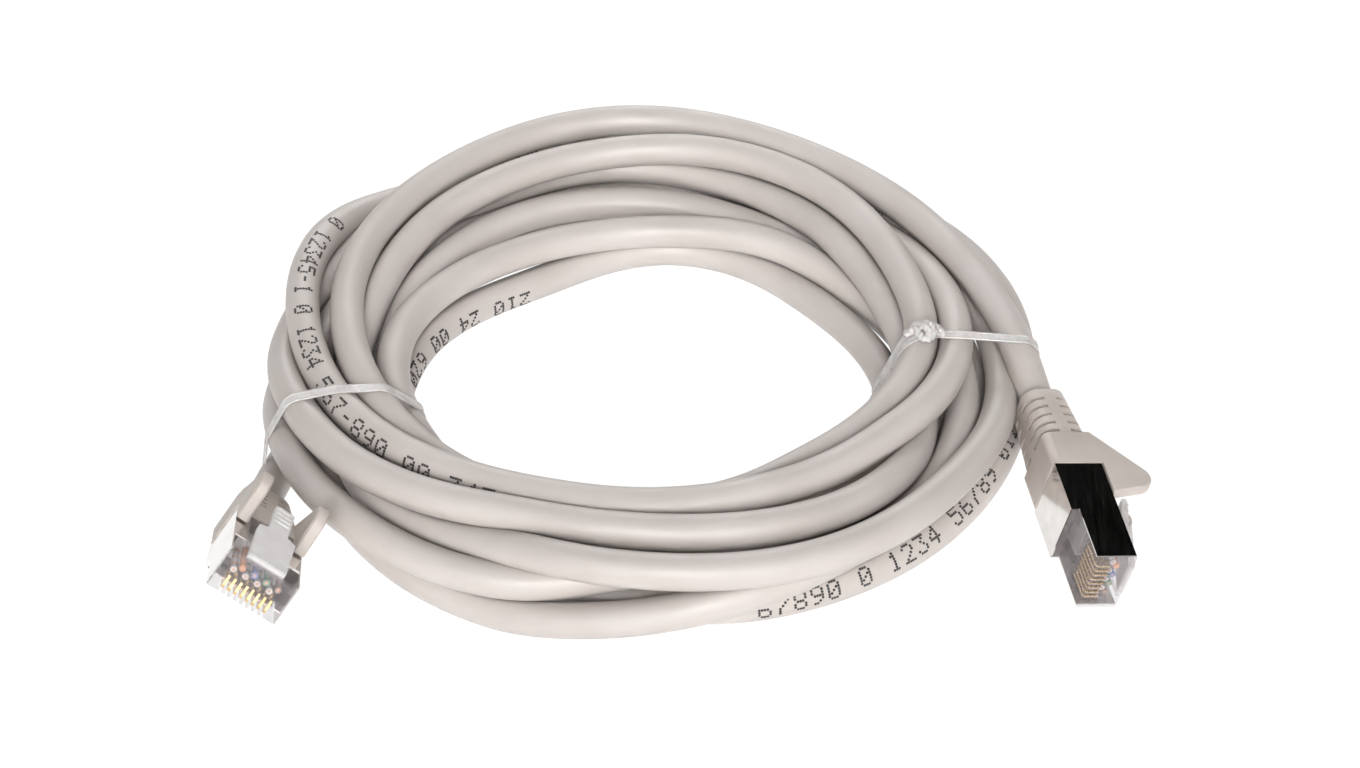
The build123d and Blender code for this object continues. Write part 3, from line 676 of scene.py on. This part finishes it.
# %% The knot
KNOT_TUBE = 0.66
KNOT_SIZE = 1.12
KNOT_RISE = 0.4
KNOT_CRUMPLE = 0.17
CRUMPLE_WAVES = (5200, 6100, 4700)
knot_turns = [
    (-2.7, 0.3, -0.9), (-2.2, 0.6, -0.3), (-1.5, 0.9, 0.4), (-0.6, 0.9, 1.1), (0.3, -0.1, 1.3),
    (0.8, -1.0, 0.7), (0.2, -1.2, -0.1), (-0.8, -0.6, 0.0), (-1.3, 0.4, 0.5), (-0.6, 1.2, 0.9),
    (0.4, 1.0, 1.2), (1.2, 0.0, 1.2), (1.4, -0.9, 0.5), (0.7, -0.9, 0.1), (0.3, 0.2, 0.2),
    (0.8, 1.1, 0.4), (1.5, 0.7, 0.7), (2.1, 0.1, 0.4), (2.9, 0.0, -0.1),
]
knot_centre = ring_point(RIGHT_TIE, knot_spot[0], knot_spot[1] + KNOT_RISE)
knot_curve = nurbs("knot_curve", [knot_centre + Vector(turn) * KNOT_SIZE for turn in knot_turns], 8)
knot_curve.data.bevel_depth = KNOT_TUBE * MM
knot_curve.data.bevel_resolution = 3
knot_curve.data.use_fill_caps = True
bpy.context.view_layer.update()
knot_mesh = bmesh.new()
knot_mesh.from_mesh(bpy.data.meshes.new_from_object(knot_curve))
bpy.data.objects.remove(knot_curve)
for vertex in knot_mesh.verts:
    across, along, up = (part * wave for part, wave in zip(vertex.co, CRUMPLE_WAVES))
    wave = math.sin(across) * math.sin(along + 1) + math.sin(up + 2)
    vertex.co += vertex.normal * wave * KNOT_CRUMPLE * MM
print("corners in the knot:", len(knot_mesh.verts))
knot = add_mesh("tie_right_knot", knot_mesh, film, smooth=True)
for piece in (right_tie, *tails, knot):
    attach(piece, "root")
    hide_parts("tie_right")

# %% [markdown]
# ## The plugs' finishes
# The plugs are right as the frame has them, so they only need their materials. The housing is clear
# polycarbonate with a slight smoky tint. Rays that bend through many thin walls and wires come out
# almost black, so most of its clearness is plain see-through with a grey tint, and only its skin
# shines. The latch is of the same clear plastic. Its near-white colour is a painted highlight that
# stands in for the glare whitening it along its whole length. Behind them a folded, nickel-plated
# sheet mirrors whatever is round it, so most of its look comes from the surroundings, and its finish
# is only faint rolling marks and a little unevenness.

# %% Clear plastic and metal
clear, shader = new_finish("clear_polycarbonate", (0.46, 0.42, 0.43), 0.05, IOR=1.58, Alpha=0.24)
link(clear, levels(clear, cloud(clear, 2.5), 0.02, 0.09), shader.inputs["Roughness"])
link(clear, shades(clear, cloud(clear, 2), (0.42, 0.38, 0.39), (0.52, 0.48, 0.49)),
     shader.inputs["Base Color"])
relief(clear, shader, (cloud(clear, 3), 0.012))

# Painted highlight: the latch is clear plastic, and its near-white colour stands in for the glare on it.
latch_painted_highlight, shader = new_finish("latch_polycarbonate_painted_highlight", (0.90, 0.88, 0.87), 0.4,
                             Transmission_Weight=0.45, IOR=1.3)
link(latch_painted_highlight, shades(latch_painted_highlight, cloud(latch_painted_highlight, 2), (0.86, 0.84, 0.83), (0.93, 0.91, 0.90)),
     shader.inputs["Base Color"])
link(latch_painted_highlight, levels(latch_painted_highlight, cloud(latch_painted_highlight, 1), 0.30, 0.50), shader.inputs["Roughness"])
relief(latch_painted_highlight, shader, (cloud(latch_painted_highlight, 0.6), 0.01))

nickel, shader = new_finish("nickel_sheet", (0.74, 0.71, 0.68), 0.16, Metallic=1.0)
link(nickel, shades(nickel, cloud(nickel, 4), (0.70, 0.67, 0.64), (0.78, 0.755, 0.73)),
     shader.inputs["Base Color"])
link(nickel, levels(nickel, cloud(nickel, 0.4, 3.0, (1, 14, 1)), 0.06, 0.16), shader.inputs["Roughness"])
relief(nickel, shader, (cloud(nickel, 0.25, 2.0, (1, 20, 1)), 0.002), (cloud(nickel, 5), 0.02))

gold, shader = new_finish("gold_plating", (0.86, 0.60, 0.26), 0.22, Metallic=1.0)
link(gold, shades(gold, cloud(gold, 0.8), (0.80, 0.53, 0.21), (0.90, 0.66, 0.32)),
     shader.inputs["Base Color"])
link(gold, levels(gold, cloud(gold, 0.3), 0.16, 0.34), shader.inputs["Roughness"])

copper, shader = new_finish("copper_strands", (0.72, 0.38, 0.24), 0.3, Metallic=1.0)
link(copper, shades(copper, cloud(copper, 0.2), (0.62, 0.30, 0.18), (0.80, 0.46, 0.30)),
     shader.inputs["Base Color"])

comb, shader = new_finish("comb_plastic", (0.74, 0.74, 0.72), 0.4)
link(comb, shades(comb, cloud(comb, 2), (0.70, 0.70, 0.68), (0.78, 0.78, 0.76)),
     shader.inputs["Base Color"])
relief(comb, shader, (cloud(comb, 0.3), 0.01))
print("finishes so far:", len(bpy.data.materials))

# %% [markdown]
# ## The boots
# The boots are soft vinyl moulded over the cord, a shade pinker and duller than the jacket. Their
# mould was spark-eroded, which leaves a fine even grain, and handling rubs the raised edges paler.
# The pointiness of the surface finds those edges.

# %% The boots' finish
boot, shader = new_finish("boot_vinyl", (0.60, 0.53, 0.49), 0.5)
skin = shades(boot, cloud(boot, 6), (0.435, 0.380, 0.340), (0.485, 0.430, 0.392))
pointed = node(boot, "NewGeometry").outputs["Pointiness"]
edges = node(boot, "MapRange", Value=pointed, From_Min=0.5, From_Max=0.62, To_Min=0.0, To_Max=0.5)
rubbed = node(boot, "MixRGB", Color2=(0.60, 0.54, 0.50, 1))
link(boot, edges.outputs[0], rubbed.inputs[0])
link(boot, skin, rubbed.inputs[1])
link(boot, rubbed.outputs[0], shader.inputs["Base Color"])
link(boot, levels(boot, cloud(boot, 2), 0.42, 0.58), shader.inputs["Roughness"])
relief(boot, shader, (cloud(boot, 0.22, 3.0), 0.012), (cloud(boot, 4), 0.05))
print("nodes in the boots' finish:", len(boot.node_tree.nodes))

# %% [markdown]
# ## The conductors
# Eight thin insulated wires come out of the jacket in four colours. Each colour has a mate that is
# white with a coloured stripe round it, and the order of the eight is the same in every plug. The
# stripes are bands across the wire, so they follow the direction of the plug they lie in.

# %% The conductors' finishes
wire_colors = {"orange": (0.85, 0.30, 0.05), "green": (0.04, 0.33, 0.12), "blue": (0.05, 0.17, 0.55),
               "brown": (0.26, 0.12, 0.06)}
WIRE_WHITE = (0.80, 0.78, 0.75)
STRIPE_GAP = 3.0


def wire_finish(color, side, striped):
    """Glossy insulation of a colour, plain or as stripes on white along a plug's direction."""
    own = wire_colors[color]
    kind = "striped" if striped else "plain"
    made, main = new_finish(f"wire_{kind}_{color}_{side}", own, 0.35)
    if not striped:
        paler = [min(1.0, part * 1.25 + 0.02) for part in own]
        link(made, shades(made, cloud(made, 1.5), own, paler), main.inputs["Base Color"])
    else:
        along = (in_plug(side, 1.0) - in_plug(side, 0.0)) / (STRIPE_GAP * MM)
        product = node(made, "VectorMath", {"operation": "DOT_PRODUCT"})
        link(made, node(made, "TexCoord").outputs["Object"], product.inputs[0])
        product.inputs[1].default_value = along
        wave = node(made, "Math", {"operation": "PINGPONG"})
        link(made, product.outputs["Value"], wave.inputs[0])
        wave.inputs[1].default_value = 0.5
        ramp = node(made, "ValToRGB")
        link(made, wave.outputs[0], ramp.inputs[0])
        for stop, shade, position in zip(ramp.color_ramp.elements, (own, WIRE_WHITE), (0.14, 0.17)):
            stop.color = (*shade, 1)
            stop.position = position
        link(made, ramp.outputs[0], main.inputs["Base Color"])
    link(made, levels(made, cloud(made, 1), 0.28, 0.42), main.inputs["Roughness"])
    return made


# %% Give every hard piece its finish
def dress(name, finish):
    """Put a finish on a piece of the frame."""
    slots = nodes[name].material_slots
    for slot in slots:
        slot.material = finish
    if not slots:
        nodes[name].data.materials.append(finish)


for side in plugs:
    for name, finish in (("housing", clear), ("latch", latch_painted_highlight), ("shield", nickel), ("contacts", gold),
                         ("load_bar", comb), ("cores", copper), ("boot", boot)):
        dress(f"{name}_{side}", finish)
    for color in wire_colors:
        dress(f"wire_{color}_{side}", wire_finish(color, side, False))
        dress(f"wire_white_{color}_{side}", wire_finish(color, side, True))
print("finishes:", len(bpy.data.materials))

# %% [markdown]
# ## Light and floor
# The cable lies on a white table under soft, even light, so the lamps are large. The world is
# brighter in front and behind than at the sides, which makes turns that run across brighter than
# turns that run away. The table is a sheet of white acrylic lit from below. Its glow fills the
# undersides of the turns, and only a faint shadow is left on it.

# %% What the camera and mirrors see
def seen_directly(tree):
    """One for rays from the camera, from mirrors and through glass, zero for light."""
    path = tree.nodes.new("ShaderNodeLightPath")
    last = path.outputs["Is Camera Ray"]
    for name in ("Is Glossy Ray", "Is Transmission Ray"):
        larger = tree.nodes.new("ShaderNodeMath")
        larger.operation = "MAXIMUM"
        tree.links.new(last, larger.inputs[0])
        tree.links.new(path.outputs[name], larger.inputs[1])
        last = larger.outputs[0]
    return last


# %% The world
SIDE_LIGHT = 0.10
END_LIGHT = 1.25
world = bpy.data.worlds.new("studio")
bpy.context.scene.world = world
world.use_nodes = True
tree = world.node_tree
background = tree.nodes["Background"]
background.inputs["Color"].default_value = (1, 1, 1, 1)
towards = node(world, "SeparateXYZ", Vector=node(world, "TexCoord").outputs["Generated"])
ends = node(world, "Math", {"operation": "MULTIPLY"})
for factor in ends.inputs[:2]:
    link(world, towards.outputs["Y"], factor)
soft = node(world, "MapRange", Value=ends.outputs[0], To_Min=SIDE_LIGHT, To_Max=END_LIGHT)
strength = node(world, "MixRGB", Color2=(1, 1, 1, 1))
link(world, seen_directly(tree), strength.inputs[0])
link(world, soft.outputs[0], strength.inputs[1])
link(world, strength.outputs[0], background.inputs["Strength"])
print("light from the sides and the ends:", SIDE_LIGHT, END_LIGHT)

# %% The floor
FLOOR_SIZE = 6.0
GLOW_SHARE = 0.92
LIT_SHARE = 0.70
GLOW = 1.1
bpy.ops.mesh.primitive_plane_add(size=FLOOR_SIZE)
floor = bpy.context.object
floor.name = "floor"
floor_finish, floor_shader = new_finish("floor_white", (0.9, 0.9, 0.9), 0.9)
tree = floor_finish.node_tree
glow = tree.nodes.new("ShaderNodeEmission")
glow.inputs["Strength"].default_value = GLOW
share = node(floor_finish, "MapRange", Value=seen_directly(tree), To_Min=LIT_SHARE, To_Max=GLOW_SHARE)
mix = tree.nodes.new("ShaderNodeMixShader")
tree.links.new(share.outputs[0], mix.inputs[0])
tree.links.new(floor_shader.outputs[0], mix.inputs[1])
tree.links.new(glow.outputs[0], mix.inputs[2])
tree.links.new(mix.outputs[0], tree.nodes["Material Output"].inputs["Surface"])
floor.data.materials.append(floor_finish)
print("floor, m:", FLOOR_SIZE)

# %% The lamps
def soft_lamp(name, position, size, power, target=(0, 0, 0), spread=180):
    """A square lamp that faces a point, and whose light spreads so many degrees."""
    data = bpy.data.lights.new(name, "AREA")
    data.size = size
    data.energy = power
    data.spread = math.radians(spread)
    lamp = bpy.data.objects.new(name, data)
    lamp.location = position
    lamp.rotation_euler = (Vector(target) - Vector(position)).to_track_quat("-Z", "Y").to_euler()
    bpy.context.scene.collection.objects.link(lamp)
    return lamp


soft_lamp("back_lamp", (0.0, 0.85, 0.42), 0.6, 3.5)
soft_lamp("front_lamp", (0.05, -0.85, 0.45), 0.6, 5.0)
soft_lamp("far_side_lamp", (0.0, -0.7, 0.6), 0.25, 0.11, target=(0, 0.09, 0), spread=20)
print("lamps:", len(bpy.data.lights))

# %% [markdown]
# ## A dark card for the metal
# The upper side of the right plug's sheet mirrors a dark corner of the studio. A black card stands
# there, which only mirrors can see, so it takes no light from the cable.

# %% The dark card
CARD_SIZE = 0.8
CARD_PLACE = (0.47, 0.58, 0.68)
bpy.ops.mesh.primitive_plane_add(size=CARD_SIZE, location=CARD_PLACE)
card = bpy.context.object
card.name = "dark_card"
card.rotation_euler = Vector(CARD_PLACE).to_track_quat("Z", "Y").to_euler()
card_finish, shader = new_finish("card_black", (0.002, 0.002, 0.002), 0.9, Specular_IOR_Level=0.0)
card.data.materials.append(card_finish)
card.visible_camera = card.visible_diffuse = card.visible_shadow = card.visible_transmission = False
bpy.context.scene.view_settings.view_transform = "Standard"
print("view transform:", bpy.context.scene.view_settings.view_transform)
